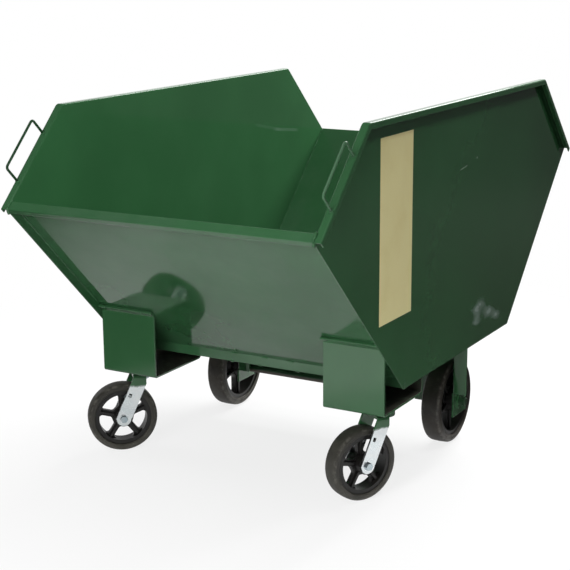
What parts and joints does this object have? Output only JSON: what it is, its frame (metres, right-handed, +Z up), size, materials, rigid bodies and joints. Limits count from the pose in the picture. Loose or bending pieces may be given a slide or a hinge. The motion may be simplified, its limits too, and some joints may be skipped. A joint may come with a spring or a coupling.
{
  "type": "waste cart",
  "caption": "Steel waste cart: open sloping hopper with six-sided end panels, lifting handles, swivel casters in front and fixed wheels behind, tipped by hand over its rear axle.",
  "frame": {"origin": "on the floor, midway between the end panels and midway between the front and rear rims", "axes": "+X to the cart's right as seen from the front, +Y from front to rear, +Z up"},
  "size_m": [0.993, 1.737, 1.0375],
  "materials": {
    "green_paint": "gloss enamel",
    "zinc": "bright zinc plate",
    "steel": "plain steel",
    "rubber": "matt moulded rubber",
    "black_iron": "black enamel",
    "label": "plain cream film"
  },
  "bodies": {
    "cart": {"end_panel_left": "green_paint", "end_panel_right": "green_paint", "front_sheet": "green_paint", "rear_sheet": "green_paint", "floor_sheet": "green_paint", "handle_left": "green_paint", "handle_right": "green_paint", "label_blank": "label", "caster_bracket_left": "green_paint", "caster_bracket_right": "green_paint", "axle_leg_outer_left": "green_paint", "axle_leg_outer_right": "green_paint", "axle_leg_inner_left": "green_paint", "axle_leg_inner_right": "green_paint", "rear_axle": "steel", "axle_hub_washers": "steel", "axle_end_washers": "steel", "axle_cotter_pins": "steel", "caster_top_plate_left": "zinc", "caster_kingpin_left": "zinc", "caster_kingpin_nut_left": "zinc", "caster_top_plate_right": "zinc", "caster_kingpin_right": "zinc", "caster_kingpin_nut_right": "zinc"},
    "caster_left": {"caster_fork_left": "zinc", "caster_swivel_bearing_left": "steel", "caster_axle_bolt_left": "zinc", "caster_axle_nut_left": "zinc", "caster_axle_sleeve_left": "steel"},
    "caster_wheel_left": {"caster_tyre_left": "rubber", "caster_hub_left": "black_iron", "caster_bearing_left": "steel"},
    "rear_wheel_left": {"rear_tyre_left": "rubber", "rear_hub_left": "black_iron", "rear_bearing_left": "steel"},
    "caster_right": {"caster_fork_right": "zinc", "caster_swivel_bearing_right": "steel", "caster_axle_bolt_right": "zinc", "caster_axle_nut_right": "zinc", "caster_axle_sleeve_right": "steel"},
    "caster_wheel_right": {"caster_tyre_right": "rubber", "caster_hub_right": "black_iron", "caster_bearing_right": "steel"},
    "rear_wheel_right": {"rear_tyre_right": "rubber", "rear_hub_right": "black_iron", "rear_bearing_right": "steel"}
  },
  "joints": [
    {"name": "caster_swivel_left", "type": "hinge", "parent": "cart", "child": "caster_left", "pos_m": [-0.3856, -0.3698, 0.243], "axis": [0, 0, 1], "continuous": true},
    {"name": "caster_roll_left", "type": "hinge", "parent": "caster_left", "child": "caster_wheel_left", "pos_m": [-0.43671, -0.41763, 0.1018], "axis": [0.6833, -0.7302, 0], "continuous": true},
    {"name": "rear_roll_left", "type": "hinge", "parent": "cart", "child": "rear_wheel_left", "pos_m": [-0.3695, 0.1086, 0.127], "axis": [1, 0, 0], "continuous": true},
    {"name": "caster_swivel_right", "type": "hinge", "parent": "cart", "child": "caster_right", "pos_m": [0.3856, -0.3698, 0.243], "axis": [0, 0, 1], "continuous": true},
    {"name": "caster_roll_right", "type": "hinge", "parent": "caster_right", "child": "caster_wheel_right", "pos_m": [0.3529, -0.43169, 0.1018], "axis": [0.8842, -0.4672, 0], "continuous": true},
    {"name": "rear_roll_right", "type": "hinge", "parent": "cart", "child": "rear_wheel_right", "pos_m": [0.3695, 0.1086, 0.127], "axis": [1, 0, 0], "continuous": true}
  ]
}
